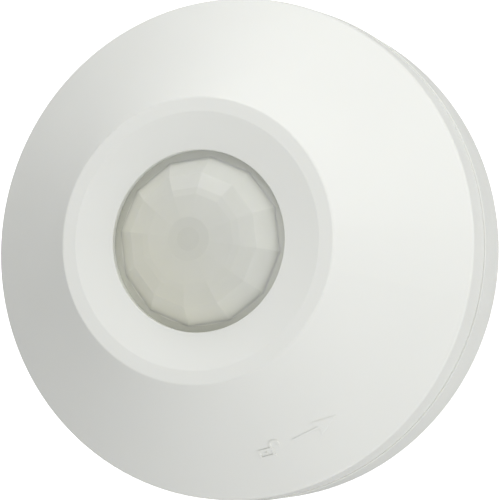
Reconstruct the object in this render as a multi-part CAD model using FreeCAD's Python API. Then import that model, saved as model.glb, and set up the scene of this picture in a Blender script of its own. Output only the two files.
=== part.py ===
"""Ceiling-mount motion detector: 360 degree passive infrared, turn-to-open cover.

Millimetres, +Z up. The origin is the centre of the base's flat back face, and +Z runs out through
the middle of the lens. The cover opens by turning it about +Z, anticlockwise seen from the front.
One STEP file is written for each sub-part.
"""
import FreeCAD, Part
import math
import os

Vector = FreeCAD.Vector
ORIGIN = Vector(0, 0, 0)
Z_AXIS = Vector(0, 0, 1)

# ---- casing: radii and heights of the outside ----
BACK_R = 57.65           # back face of the base
PARTING_R = 58.0         # widest, at the top edge of the base
PARTING_Z = 14.1
PARTING_GAP = 0.15
COVER_FOOT_R = 57.65     # the cover's lower edge, just inside the base's top edge
RIM_R = 57.5             # edge between the cover's side and its skirt
RIM_Z = 22.8
CREST_OUT_R = 31.9       # outer and inner edge of the crest band
CREST_OUT_Z = 44.7
CREST_IN_R = 28.7
CREST_IN_Z = 44.9
OPENING_R = 20.25        # opening round the lens
OPENING_Z = 43.4
OPENING_LIP = 1.5        # thickness of the thin edge round the opening
WALL = 2.2
FLOOR = 2.4
SKIRT_SLOPE = math.atan2(CREST_OUT_Z - RIM_Z, RIM_R - CREST_OUT_R)

# ---- raised turn-to-open mark on the skirt: an open padlock and an arrow ----
MARK_R = 47.6            # circle that the mark follows
MARK_ANGLE = -62.5       # middle of the padlock
PADLOCK_RAISED = 0.2
ARROW_RAISED = 0.12
ARROW_START = 7.6        # degrees from the padlock's middle to the shaft, the head and the tip
ARROW_NECK = 14.4
ARROW_TIP = 21.3

# ---- bayonet between cover and base ----
OPEN_TURN = 14.0         # degrees of turn that free the cover
BAYONET_ANGLES = (45.0, 135.0, 225.0, 315.0)
LUG_HALF = 5.0           # half the angle of a lug on the cover
LEDGE_HALF = 7.0         # half the angle of a ledge on the base
LEDGE_IN_R = 53.5
LEDGE_Z = 10.5
LEDGE_THICK = 1.6
LUG_OUT_R = 54.9
LUG_Z = 7.9
LUG_THICK = 2.3
LIP_IN_R = 53.6          # lip of the cover that enters the base
LIP_OUT_R = 55.2
LIP_Z = 12.7

# ---- mounting through the base ----
SCREW_SLOTS_X = 83.3     # centre distance of the outer pair of slots
SCREW_SLOTS_Y = 60.0     # centre distance of the inner pair
SLOT_R = 2.2
OUTER_SLOT_LENGTH = 9.0
INNER_SLOT_LENGTH = 8.0
CABLE_ENTRY_Y = -14.0
CABLE_ENTRY_R = 6.5
KNOCKOUTS = ((-22.0, 18.0), (22.0, 18.0))
KNOCKOUT_R = 7.0

# ---- lens: vertex radius and height of each ring of corners, from the foot up ----
LENS_SIDES = 12
LENS_TURN = 4.6          # degrees from +X to the first corner
LENS_FOOT_R = 19.6
LENS_RINGS = ((18.8, 42.3), (15.0, 46.3), (11.7, 47.7), (10.1, 48.2), (5.0, 49.2))
LENS_APEX_Z = 49.4
LENS_THICK = 0.7
FLANGE_R = 22.6
FLANGE_Z = 40.85
FLANGE_THICK = 1.0
COLLAR_IN_R = 22.9
COLLAR_OUT_R = 24.6
COLLAR_Z = 39.65
RETAINER_BORE_R = 18.8
RETAINER_GRIP = 3.3      # height of the ring's outer wall

# ---- circuit board and what stands on it ----
BOARD_R = 41.0
BOARD_Z = 17.0
BOARD_THICK = 1.6
BOARD_TOP = BOARD_Z + BOARD_THICK
BOARD_CHORD_Y = -37.0    # straight edge that leaves room for the wires
POST_CIRCLE_R = 37.0
POST_R = 3.5
SCREW_POSTS = (45.0, 225.0)
PIN_POSTS = (135.0, 315.0)
BOARD_HOLE_R = 1.5
SENSOR_SPACER_HEIGHT = 3.0
SENSOR_CAN_R = 4.1
SENSOR_CAN_HEIGHT = 4.2
TERMINALS = 6
TERMINAL_PITCH = 5.08
TERMINAL_Y = -31.5
TERMINAL_SIZE = (31.0, 9.6, 10.0)
RELAY_AT = (23.0, -10.0)
JUMPERS = 3
JUMPER_X = -26.0
JUMPER_FIRST_Y = 2.0
PIN_PITCH = 2.54
HEADER_HEIGHT = 2.5
SHUNT_SIZE = (5.0, 2.4, 6.0)

# ---- tamper switch ----
TAMPER_R = 33.0          # distance from the axis, along +Y
TAMPER_BODY = (8.0, 6.4, 6.4)
TAMPER_TRAVEL = 1.0
TAMPER_STEM_R = 1.2
TAMPER_REACH = 0.6       # how far the pressed plunger stands above the switch
TAMPER_GAP = 0.1         # between plunger and ramp


# ---------------------------------------------------------------- helpers
def outline_wire(points):
    """Closed wire in the XZ plane. A point is (radius, height) or (radius, height, corner radius)."""
    count = len(points)
    starts, ends, middles = [], [], []
    for i in range(count):
        here = Vector(points[i][0], 0, points[i][1])
        before = Vector(points[i - 1][0], 0, points[i - 1][1]) - here
        after = Vector(points[(i + 1) % count][0], 0, points[(i + 1) % count][1]) - here
        before.normalize()
        after.normalize()
        corner = points[i][2] if len(points[i]) > 2 else 0.0
        half = before.getAngle(after) / 2
        reach = corner / math.tan(half)
        bisector = before + after
        if corner:
            bisector.normalize()
        starts.append(here + before * reach)
        ends.append(here + after * reach)
        middles.append(here + bisector * (corner / math.sin(half) - corner))
    edges = []
    for i in range(count):
        if (ends[i] - starts[i]).Length > 1e-6:
            edges.append(Part.Arc(starts[i], middles[i], ends[i]).toShape())
        edges.append(Part.LineSegment(ends[i], starts[(i + 1) % count]).toShape())
    return Part.Wire(edges)


def revolved(points):
    """Solid of revolution about Z from a closed outline."""
    return Part.Face(outline_wire(points)).revolve(ORIGIN, Z_AXIS, 360)


def block(x, y, z, size):
    """Box centred on x and y that stands on z."""
    return Part.makeBox(size[0], size[1], size[2], Vector(x - size[0] / 2, y - size[1] / 2, z))


def soft_block(x, y, z, size, corner):
    """Box with its upright edges rounded."""
    box = block(x, y, z, size)
    upright = [e for e in box.Edges if abs(e.tangentAt(e.FirstParameter).z) > 0.99]
    return box.makeFillet(corner, upright)


def cylinder(radius, z_low, z_high, x=0.0, y=0.0):
    return Part.makeCylinder(radius, z_high - z_low, Vector(x, y, z_low))


def sector(r_in, r_out, z_low, z_high, from_deg, to_deg):
    """Part of a ring between two angles."""
    def spot(radius, degrees):
        return Vector(radius * math.cos(math.radians(degrees)), radius * math.sin(math.radians(degrees)), z_low)

    middle = (from_deg + to_deg) / 2
    edges = [
        Part.Arc(spot(r_out, from_deg), spot(r_out, middle), spot(r_out, to_deg)).toShape(),
        Part.LineSegment(spot(r_out, to_deg), spot(r_in, to_deg)).toShape(),
        Part.Arc(spot(r_in, to_deg), spot(r_in, middle), spot(r_in, from_deg)).toShape(),
        Part.LineSegment(spot(r_in, from_deg), spot(r_out, from_deg)).toShape(),
    ]
    return Part.Face(Part.Wire(edges)).extrude(Vector(0, 0, z_high - z_low))


def turned(shape, degrees):
    """Copy turned about the Z axis."""
    copy = shape.copy()
    copy.rotate(ORIGIN, Z_AXIS, degrees)
    return copy


def round_spot(radius, degrees):
    return radius * math.cos(math.radians(degrees)), radius * math.sin(math.radians(degrees))


def slot_cutter(x, y, length, radius, along_y, z_low, z_high):
    """Cutter for a slot with round ends."""
    half = length / 2 - radius
    dx, dy = (0.0, half) if along_y else (half, 0.0)
    ends = [cylinder(radius, z_low, z_high, x + s * dx, y + s * dy) for s in (-1, 1)]
    size = (2 * radius, 2 * half) if along_y else (2 * half, 2 * radius)
    middle = block(x, y, z_low, (size[0], size[1], z_high - z_low))
    return ends[0].fuse([ends[1], middle]).removeSplitter()


def joined(first, others):
    return first.fuse(others).removeSplitter()


def skirt_z(radius):
    """Height of the cover's conical outside at a radius."""
    return RIM_Z + (RIM_R - radius) * math.tan(SKIRT_SLOPE)


# ---------------------------------------------------------------- casing
def base_tray():
    """Floor and side wall of the mounting base."""
    return revolved([
        (0, 0),
        (BACK_R, 0, 0.7),
        (PARTING_R, PARTING_Z, 0.12),
        (PARTING_R - WALL, PARTING_Z, 0.2),
        (BACK_R - WALL, FLOOR, 1.0),
        (0, FLOOR),
    ])


def base_bayonet(angle):
    """Ledge and closing stop inside the wall, for one lug of the cover."""
    inside = BACK_R - WALL + 0.5
    top = LEDGE_Z + LEDGE_THICK
    ledge = sector(LEDGE_IN_R, inside + 0.3, LEDGE_Z, top, angle - LEDGE_HALF, angle + LEDGE_HALF)
    stop_from = angle - LEDGE_HALF - 0.4
    stop = sector(LEDGE_IN_R, inside, LUG_Z - 0.6, top, stop_from, angle - LUG_HALF - 0.6)
    return [ledge, stop]


def base_posts():
    """Four posts under the board with a rib to the wall, two of them with a locating pin."""
    posts = []
    for angle in SCREW_POSTS + PIN_POSTS:
        x, y = round_spot(POST_CIRCLE_R, angle)
        posts.append(cylinder(POST_R, FLOOR - 0.4, BOARD_Z, x, y))
        rib = block(POST_CIRCLE_R + 9.5, 0, FLOOR - 0.4, (15.0, 1.6, 3.6))
        posts.append(turned(rib, angle))
    for angle in PIN_POSTS:
        x, y = round_spot(POST_CIRCLE_R, angle)
        tip = Part.makeCone(BOARD_HOLE_R - 0.1, 0.8, 0.8, Vector(x, y, BOARD_TOP + 0.4))
        posts.append(cylinder(BOARD_HOLE_R - 0.1, BOARD_Z - 0.5, BOARD_TOP + 0.4, x, y))
        posts.append(tip)
    return posts


def cable_guide():
    """Two low walls that lead the cable from its entry to the board's straight edge."""
    return [block(side * 9.0, -31.0, FLOOR - 0.4, (1.4, 22.0, 5.4)) for side in (-1, 1)]


def base_cutters():
    """Screw slots, cable entry, pilot holes, and the knock-out grooves in the back face."""
    low, high = -1.0, FLOOR + 1.0
    cutters = []
    for side in (-1, 1):
        x = side * SCREW_SLOTS_X / 2
        y = side * SCREW_SLOTS_Y / 2
        cutters.append(slot_cutter(x, 0, OUTER_SLOT_LENGTH, SLOT_R, False, low, high))
        cutters.append(slot_cutter(0, y, INNER_SLOT_LENGTH, SLOT_R, True, low, high))
    cutters.append(cylinder(CABLE_ENTRY_R, low, high, 0, CABLE_ENTRY_Y))
    for angle in SCREW_POSTS:
        x, y = round_spot(POST_CIRCLE_R, angle)
        cutters.append(cylinder(1.25, 7.0, BOARD_Z + 1, x, y))
    for x, y in KNOCKOUTS:
        groove = cylinder(KNOCKOUT_R, low, 1.4, x, y).cut(cylinder(KNOCKOUT_R - 0.7, low, 1.4, x, y))
        cutters.append(groove)
    return cutters


def base():
    features = base_posts() + cable_guide()
    for angle in BAYONET_ANGLES:
        features += base_bayonet(angle)
    return joined(base_tray(), features).cut(base_cutters())


def cover_outside():
    """Outside of the cover, from the parting line to the opening."""
    return [
        (COVER_FOOT_R, PARTING_Z + PARTING_GAP, 0.12),
        (RIM_R, RIM_Z, 1.2),
        (CREST_OUT_R, CREST_OUT_Z, 0.8),
        (CREST_IN_R, CREST_IN_Z, 0.9),
        (OPENING_R, OPENING_Z, 0.25),
    ]


def cover_shell():
    """Moulded shell: skirt, crest, dish, opening, lens seat and collar, and the lip into the base."""
    drop = WALL / math.cos(SKIRT_SLOPE)
    inner_rim_r = RIM_R - WALL
    inner_crest_r = CREST_OUT_R - 0.6
    inside = [
        (OPENING_R, OPENING_Z - OPENING_LIP),
        (COLLAR_IN_R, OPENING_Z - OPENING_LIP),
        (COLLAR_IN_R, COLLAR_Z),
        (COLLAR_OUT_R, COLLAR_Z),
        (COLLAR_OUT_R, OPENING_Z - 1.6),
        (CREST_IN_R, CREST_IN_Z - WALL - 0.2, 0.5),
        (inner_crest_r, skirt_z(inner_crest_r) - drop, 0.5),
        (inner_rim_r, skirt_z(inner_rim_r) - drop, 0.8),
        (inner_rim_r, PARTING_Z + 4.4),
        (LIP_IN_R, PARTING_Z + 2.7),
        (LIP_IN_R, LIP_Z),
        (LIP_OUT_R, LIP_Z),
        (LIP_OUT_R, PARTING_Z + PARTING_GAP),
    ]
    return revolved(cover_outside() + inside)


def cover_envelope():
    """The space under the cover's outside, filled."""
    return revolved(cover_outside() + [(0, OPENING_Z), (0, LIP_Z), (COVER_FOOT_R - 0.5, LIP_Z)])


def cover_lug(angle):
    """Hanging tab with an outward lug that turns in under a ledge of the base."""
    low, high = angle - LUG_HALF, angle + LUG_HALF
    tab_out_r = LEDGE_IN_R - 0.3
    tab_in_r = tab_out_r - 1.6
    return [
        sector(tab_in_r, tab_out_r, LUG_Z, PARTING_Z + 4, low, high),
        sector(tab_in_r, LIP_IN_R + 0.4, LIP_Z, PARTING_Z + 4, low, high),
        sector(tab_in_r, LUG_OUT_R, LUG_Z, LUG_Z + LUG_THICK, low, high),
    ]


def tamper_ramp():
    """Curved rib under the cover with a sloping foot, which lets the plunger rise as the cover turns."""
    foot_z = BOARD_TOP + TAMPER_BODY[2] + TAMPER_REACH + TAMPER_GAP
    rib = sector(TAMPER_R - 1.5, TAMPER_R + 1.5, foot_z - 1, CREST_OUT_Z, 90 - OPEN_TURN - 3, 93.5)
    run = TAMPER_R * math.sin(math.radians(OPEN_TURN))
    slope = math.degrees(math.atan2(TAMPER_TRAVEL, run))
    below = block(0, TAMPER_R, foot_z - 10, (60, 20, 10))
    below.rotate(Vector(0, TAMPER_R, foot_z), Vector(0, 1, 0), -slope)
    return rib.cut(below).common(cover_envelope())


def cover_ribs():
    """Eight stiffening ribs under the skirt."""
    deep = WALL / math.cos(SKIRT_SLOPE)
    r_in, r_out = 34.0, 53.5
    band = revolved([
        (r_in, skirt_z(r_in) - deep + 0.6),
        (r_out, skirt_z(r_out) - deep + 0.6),
        (r_out, skirt_z(r_out) - deep - 1.8),
        (r_in, skirt_z(r_in) - deep - 1.8),
    ])
    plate = block((r_in + r_out) / 2, 0, RIM_Z - 8, (r_out - r_in + 2, 1.3, 30))
    return [band.common(turned(plate, 22.5 + 45 * i)) for i in range(8)]


def skirt_patch(points):
    """Upright prism over the skirt. Points are (along the mark's circle, down the slope from it)."""
    corners = []
    for along, outward in points:
        radius = MARK_R + outward * math.cos(SKIRT_SLOPE)
        angle = math.radians(MARK_ANGLE) + along / MARK_R
        corners.append(Vector(radius * math.cos(angle), radius * math.sin(angle), RIM_Z - 2))
    return Part.Face(Part.makePolygon(corners + corners[:1])).extrude(Vector(0, 0, 30))


def raised_on_skirt(prisms, height):
    """The parts of some upright prisms that stand this high above the skirt."""
    lift = height / math.cos(SKIRT_SLOPE)
    r_in, r_out = MARK_R - 5, MARK_R + 5
    skin = revolved([
        (r_in, skirt_z(r_in) - 0.8),
        (r_out, skirt_z(r_out) - 0.8),
        (r_out, skirt_z(r_out) + lift),
        (r_in, skirt_z(r_in) + lift),
    ])
    return [skin.common(prism) for prism in prisms]


def padlock_prisms():
    """Open padlock drawn in raised strokes: body, keyhole and swung hoop."""
    outside = skirt_patch([(-2.4, -0.3), (1.2, -0.3), (1.2, 2.1), (-2.4, 2.1)])
    inside = skirt_patch([(-1.95, 0.15), (0.75, 0.15), (0.75, 1.65), (-1.95, 1.65)])
    keyhole = skirt_patch([(-0.85, 0.6), (-0.35, 0.6), (-0.35, 1.2), (-0.85, 1.2)])
    hoop_at, hoop_outer_r, hoop_inner_r = (1.95, -0.9), 1.2, 0.75
    arc = [math.radians(180 + 180 * i / 12) for i in range(13)]
    outer = [(hoop_at[0] + hoop_outer_r * math.cos(t), hoop_at[1] + hoop_outer_r * math.sin(t)) for t in arc]
    inner = [(hoop_at[0] + hoop_inner_r * math.cos(t), hoop_at[1] + hoop_inner_r * math.sin(t)) for t in arc]
    free_leg = [(outer[-1][0], -0.2), (inner[-1][0], -0.2)]
    held_leg = [(inner[0][0], -0.1), (outer[0][0], -0.1)]
    hoop = skirt_patch(outer + free_leg + inner[::-1] + held_leg)
    return [outside.cut(inside), keyhole, hoop]


def arrow_prisms():
    start, neck, tip = (MARK_R * math.radians(a) for a in (ARROW_START, ARROW_NECK, ARROW_TIP))
    shaft = skirt_patch([(start, -0.4), (neck + 1, -0.2), (neck + 1, 0.1), (start, -0.1)])
    head = skirt_patch([(neck, -2.0), (tip, 0.0), (neck + 0.6, 2.0), (neck + 1.0, 0.0)])
    return [shaft, head]


def open_mark():
    """Raised open padlock and an arrow that points the way the cover turns to open."""
    return raised_on_skirt(padlock_prisms(), PADLOCK_RAISED) + raised_on_skirt(arrow_prisms(), ARROW_RAISED)


def cover():
    features = cover_ribs() + open_mark() + [tamper_ramp()]
    for angle in BAYONET_ANGLES:
        features += cover_lug(angle)
    return joined(cover_shell(), features)


# ---------------------------------------------------------------- lens
def faceted_dome(rings, apex_z):
    """Closed solid with flat facets between rings of corners, closed by a low point at the top."""
    corners = []
    for radius, z in rings:
        spots = [round_spot(radius, LENS_TURN + 360 / LENS_SIDES * i) for i in range(LENS_SIDES)]
        corners.append([Vector(x, y, z) for x, y in spots])
    apex = Vector(0, 0, apex_z)
    faces = [Part.Face(Part.makePolygon(corners[0] + corners[0][:1]))]
    for low, high in zip(corners, corners[1:]):
        for i in range(LENS_SIDES):
            j = (i + 1) % LENS_SIDES
            faces.append(Part.Face(Part.makePolygon([low[i], low[j], high[j], high[i], low[i]])))
    top = corners[-1]
    for i in range(LENS_SIDES):
        faces.append(Part.Face(Part.makePolygon([top[i], top[(i + 1) % LENS_SIDES], apex, top[i]])))
    return Part.Solid(Part.Shell(faces))


def fresnel_lens():
    """Thin faceted dome with a flat flange."""
    outside = faceted_dome(((LENS_FOOT_R, FLANGE_Z),) + LENS_RINGS, LENS_APEX_Z)
    inner_rings = [(r - LENS_THICK, z - LENS_THICK * 0.8) for r, z in LENS_RINGS]
    inner_foot = (LENS_FOOT_R - LENS_THICK, FLANGE_Z - 1)
    inside = faceted_dome([inner_foot] + inner_rings, LENS_APEX_Z - LENS_THICK)
    flange = cylinder(FLANGE_R, FLANGE_Z, FLANGE_Z + FLANGE_THICK)
    return outside.fuse(flange).cut(inside)


def lens_retainer():
    """Snap ring: presses the lens flange to its seat and grips the cover's collar."""
    foot = COLLAR_Z - 1.4
    grip_r = COLLAR_OUT_R + 0.1
    ring = revolved([
        (RETAINER_BORE_R, foot, 0.3),
        (grip_r + 1.4, foot, 0.3),
        (grip_r + 1.4, foot + RETAINER_GRIP, 0.2),
        (grip_r, foot + RETAINER_GRIP, 0.2),
        (grip_r, foot + 1.3),
        (COLLAR_IN_R - 0.1, foot + 1.3),
        (COLLAR_IN_R - 0.1, FLANGE_Z - 0.05),
        (RETAINER_BORE_R, FLANGE_Z - 0.05),
    ])
    notch = block(grip_r, 0, foot + 1.6, (4, 5, 3))
    return ring.cut([turned(notch, 60 * i) for i in range(6)])


# ---------------------------------------------------------------- board and sensor
def circuit_board():
    board = cylinder(BOARD_R, BOARD_Z, BOARD_TOP)
    cutters = [block(0, BOARD_CHORD_Y - 10, BOARD_Z - 1, (90, 20, 4))]
    for side in (-1, 1):
        cutters.append(cylinder(8.8, BOARD_Z - 1, BOARD_TOP + 1, side * (BOARD_R + 3), 0))
    for angle in SCREW_POSTS + PIN_POSTS:
        x, y = round_spot(POST_CIRCLE_R, angle)
        cutters.append(cylinder(BOARD_HOLE_R, BOARD_Z - 1, BOARD_TOP + 1, x, y))
    return board.cut(cutters)


def board_screw(angle):
    """Pan-head self-tapping screw with a cross recess."""
    x, y = round_spot(POST_CIRCLE_R, angle)
    head = cylinder(2.6, BOARD_TOP, BOARD_TOP + 1.7, x, y)
    head = head.makeFillet(0.7, [e for e in head.Edges if e.BoundBox.ZMin > BOARD_TOP + 1.6])
    shank = cylinder(1.2, 7.6, BOARD_TOP + 0.2, x, y)
    recess = [block(x, y, BOARD_TOP + 0.9, (2.6, 0.6, 1)), block(x, y, BOARD_TOP + 0.9, (0.6, 2.6, 1))]
    return head.fuse(shank).cut(recess)


def board_screws():
    return Part.makeCompound([board_screw(angle) for angle in SCREW_POSTS])


def sensor_spacer():
    """Collar that holds the sensor at the lens's focus."""
    top = BOARD_TOP + SENSOR_SPACER_HEIGHT
    return cylinder(5.4, BOARD_TOP, top).cut(cylinder(3.0, BOARD_TOP - 1, top - 0.8))


def pir_sensor_can():
    """Metal can with a rim and an opening for the window."""
    foot = BOARD_TOP + SENSOR_SPACER_HEIGHT
    top = foot + SENSOR_CAN_HEIGHT
    can = revolved([
        (0, foot), (4.6, foot), (4.6, foot + 0.5), (SENSOR_CAN_R, foot + 0.5), (SENSOR_CAN_R, top, 0.4), (0, top),
    ])
    return can.cut(block(0, 0, top - 0.8, (4.7, 3.7, 2)))


def pir_sensor_window():
    top = BOARD_TOP + SENSOR_SPACER_HEIGHT + SENSOR_CAN_HEIGHT
    return block(0, 0, top - 0.8, (4.6, 3.6, 0.6))


# ---------------------------------------------------------------- terminals and relay
def terminal_places():
    half = (TERMINALS - 1) / 2
    return [(i - half) * TERMINAL_PITCH for i in range(TERMINALS)]


def terminal_block():
    """Housing with a wire tunnel and a screw well for each way."""
    width, depth, height = TERMINAL_SIZE
    body = block(0, TERMINAL_Y, BOARD_TOP, TERMINAL_SIZE)
    ridge = [e for e in body.Edges if e.BoundBox.ZMin > BOARD_TOP + height - 0.1 and e.BoundBox.XLength > 5]
    body = body.makeChamfer(1.2, ridge)
    cutters = []
    for x in terminal_places():
        cutters.append(block(x, TERMINAL_Y - 1.3, BOARD_TOP + 1.2, (4.0, 7.2, 4.8)))
        cutters.append(cylinder(1.95, BOARD_TOP + 5, BOARD_TOP + height + 1, x, TERMINAL_Y))
    return body.cut(cutters)


def terminal_clamp(x):
    """Metal cage inside a wire tunnel."""
    cage = block(x, TERMINAL_Y - 0.6, BOARD_TOP + 1.25, (3.8, 5.2, 4.6))
    wire_way = block(x, TERMINAL_Y - 0.6, BOARD_TOP + 1.85, (2.6, 6, 3.2))
    return cage.cut([wire_way, cylinder(1.35, BOARD_TOP + 4, BOARD_TOP + 8, x, TERMINAL_Y)])


def terminal_clamps():
    return Part.makeCompound([terminal_clamp(x) for x in terminal_places()])


def terminal_screw(x):
    height = BOARD_TOP + TERMINAL_SIZE[2]
    head = cylinder(1.8, height - 2.6, height - 0.8, x, TERMINAL_Y)
    slot = block(x, TERMINAL_Y, height - 1.6, (4, 0.6, 2))
    return head.fuse(cylinder(1.25, BOARD_TOP + 4.4, height - 2.4, x, TERMINAL_Y)).cut(slot)


def terminal_screws():
    return Part.makeCompound([terminal_screw(x) for x in terminal_places()])


def alarm_relay():
    body = soft_block(RELAY_AT[0], RELAY_AT[1], BOARD_TOP + 0.4, (10.0, 20.0, 11.0), 0.8)
    feet = [block(RELAY_AT[0], RELAY_AT[1] + s * 8.5, BOARD_TOP, (8.0, 1.5, 1.0)) for s in (-1, 1)]
    return joined(body, feet)


# ---------------------------------------------------------------- tamper switch
def tamper_levels():
    """Heights in the switch with the cover closed: well floor, collar foot, collar top, stem top."""
    ceiling = BOARD_TOP + TAMPER_BODY[2] - 0.8
    collar_top = ceiling - TAMPER_TRAVEL - 0.05
    stem_top = BOARD_TOP + TAMPER_BODY[2] + TAMPER_REACH
    return BOARD_TOP + 0.8, collar_top - 0.8, collar_top, stem_top


def tamper_switch_body():
    well_floor = tamper_levels()[0]
    ceiling = BOARD_TOP + TAMPER_BODY[2] - 0.8
    body = soft_block(0, TAMPER_R, BOARD_TOP, TAMPER_BODY, 0.6)
    well = cylinder(1.9, well_floor, ceiling, 0, TAMPER_R)
    bore = cylinder(TAMPER_STEM_R + 0.06, ceiling - 1, ceiling + 3, 0, TAMPER_R)
    return body.cut([well, bore])


def tamper_plunger():
    """Round-topped stem with a collar that keeps it in the switch."""
    _, collar_foot, collar_top, stem_top = tamper_levels()
    stem = cylinder(TAMPER_STEM_R, collar_foot, stem_top, 0, TAMPER_R)
    ball_r = 1.9
    ball = Part.makeSphere(ball_r, Vector(0, TAMPER_R, stem_top - ball_r))
    low_part = cylinder(2.5, collar_foot - 1, stem_top - ball_r, 0, TAMPER_R)
    stem = stem.common(joined(ball, [low_part]))
    return joined(stem, [cylinder(1.8, collar_foot, collar_top, 0, TAMPER_R)])


def tamper_spring():
    """Coil spring between the well floor and the plunger's collar, at its pressed length."""
    foot, head = tamper_levels()[:2]
    wire, coil_r, turns = 0.25, 1.35, 4
    length = head - foot - wire - 0.04
    corners = [Vector(coil_r + dx * wire / 2, 0, dz * wire / 2) for dx, dz in ((-1, -1), (1, -1), (1, 1), (-1, 1))]
    section = Part.makePolygon(corners + corners[:1])
    helix = Part.makeHelix(length / turns, length, coil_r)
    coil = Part.Wire(helix.Edges).makePipeShell([section], True, True)
    coil.translate(Vector(0, TAMPER_R, foot + wire / 2 + 0.02))
    return coil


# ---------------------------------------------------------------- jumpers
def jumper_rows():
    return [JUMPER_FIRST_Y + 2 * PIN_PITCH * i for i in range(JUMPERS)]


def jumper_header():
    """Plastic strip that carries the pins."""
    rows = jumper_rows()
    middle = (rows[0] + rows[-1]) / 2
    return block(JUMPER_X, middle, BOARD_TOP, (5.08, rows[-1] - rows[0] + PIN_PITCH, HEADER_HEIGHT)).cut([
        block(JUMPER_X + side * PIN_PITCH / 2, y, BOARD_TOP - 1, (0.66, 0.66, HEADER_HEIGHT + 2))
        for y in rows
        for side in (-1, 1)
    ])


def jumper_pins():
    return Part.makeCompound([
        block(JUMPER_X + side * PIN_PITCH / 2, y, BOARD_TOP, (0.64, 0.64, HEADER_HEIGHT + 5.0))
        for y in jumper_rows()
        for side in (-1, 1)
    ])


def jumper_shunt(y):
    """Push-on bridge over one pair of pins."""
    foot = BOARD_TOP + HEADER_HEIGHT + 0.05
    body = soft_block(JUMPER_X, y, foot, SHUNT_SIZE, 0.3)
    sockets = [block(JUMPER_X + s * PIN_PITCH / 2, y, foot - 1, (0.8, 0.8, 6.2)) for s in (-1, 1)]
    return body.cut(sockets)


# ---------------------------------------------------------------- small electronics
def alarm_led():
    """3 mm indicator, near the sensor so that it shows through the lens."""
    x, y = -9.0, -7.0
    foot = cylinder(1.9, BOARD_TOP, BOARD_TOP + 1.0, x, y)
    dome = Part.makeSphere(1.5, Vector(x, y, BOARD_TOP + 3.8))
    return joined(foot, [cylinder(1.5, BOARD_TOP, BOARD_TOP + 3.8, x, y), dome])


def gull_wing_chip(x, y, size, pins_per_side, pitch):
    """Flat package, long side along X, with bent leads on both long sides."""
    body = block(x, y, BOARD_TOP + 0.2, size)
    leads = []
    for side in (-1, 1):
        for i in range(pins_per_side):
            lead_x = x + (i - (pins_per_side - 1) / 2) * pitch
            edge = y + side * size[1] / 2
            leads.append(block(lead_x, edge + side * 0.25, BOARD_TOP + size[2] / 2, (0.4, 0.7, 0.25)))
            leads.append(block(lead_x, edge + side * 0.5, BOARD_TOP, (0.4, 0.25, size[2] / 2 + 0.25)))
            leads.append(block(lead_x, edge + side * 0.8, BOARD_TOP, (0.4, 0.7, 0.22)))
    return joined(body, leads)


def processor_chip():
    return gull_wing_chip(13.0, 15.0, (12.8, 7.5, 2.3), 10, 1.27)


def amplifier_chip():
    return gull_wing_chip(-11.0, 17.0, (8.7, 3.9, 1.5), 7, 1.27)


def voltage_regulator():
    """Three-legged package with a flat front."""
    x, y, foot = 10.0, -19.0, BOARD_TOP + 2.0
    body = cylinder(2.4, foot, foot + 4.8, x, y).cut(block(x, y - 2.9, foot - 1, (6, 3, 8)))
    legs = [block(x + i * 1.27, y, BOARD_TOP, (0.5, 0.45, 2.5)) for i in (-1, 0, 1)]
    return joined(body, legs)


def crystal():
    """Metal can of the clock crystal."""
    return soft_block(14.0, 25.0, BOARD_TOP, (11.0, 4.6, 3.6), 2.2)


def surge_varistor():
    """Coated disc standing on two leads."""
    x, y, radius = -2.0, -19.5, 3.5
    centre = Vector(x, y - 1.5, BOARD_TOP + 1.0 + radius)
    disc = Part.makeCylinder(radius, 3.0, centre, Vector(0, 1, 0))
    legs = [cylinder(0.3, BOARD_TOP, BOARD_TOP + 3.0, x + s * 2.0, y) for s in (-1, 1)]
    return joined(disc, legs)


def power_diode():
    x, y, axis_z = 28.0, 14.0, BOARD_TOP + 1.6
    body = Part.makeCylinder(1.35, 5.2, Vector(x, y - 2.6, axis_z), Vector(0, 1, 0))
    lead = Part.makeCylinder(0.35, 9.0, Vector(x, y - 4.5, axis_z), Vector(0, 1, 0))
    legs = [cylinder(0.35, BOARD_TOP, axis_z, x, y + s * 4.3) for s in (-1, 1)]
    return joined(body, [lead] + legs)


def can_capacitor(x, y, radius, height):
    """Upright electrolytic capacitor with the crimp near its foot."""
    top = BOARD_TOP + height
    return revolved([
        (0, BOARD_TOP), (radius, BOARD_TOP, 0.3), (radius, BOARD_TOP + 1.0), (radius - 0.35, BOARD_TOP + 1.4),
        (radius, BOARD_TOP + 1.8), (radius, top, 0.4), (0, top),
    ]).translated(Vector(x, y, 0))


def filter_capacitors():
    places = ((-24.0, -14.0, 4.0, 11.5), (-14.5, -18.0, 3.15, 7.0), (-33.0, -14.0, 2.5, 7.0))
    return Part.makeCompound([can_capacitor(*place) for place in places])


def chip_row(x, y, count, step, size):
    """A row of surface-mount parts along X."""
    return [block(x + step * i, y, BOARD_TOP, size) for i in range(count)]


def chip_resistors():
    size = (1.25, 2.0, 0.5)
    rows = chip_row(-17.0, 9.5, 6, 2.4, size) + chip_row(5.0, 7.5, 5, 2.4, size)
    rows += chip_row(-20.0, 24.0, 5, 2.4, size) + chip_row(4.0, -10.5, 3, 2.4, size)
    return Part.makeCompound(rows)


def chip_capacitors():
    size = (1.3, 2.0, 0.9)
    rows = chip_row(23.0, 22.0, 3, 2.6, size) + chip_row(-14.0, 4.5, 3, 2.6, size)
    rows += chip_row(-18.0, 29.5, 4, 2.6, size)
    return Part.makeCompound(rows)


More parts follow.
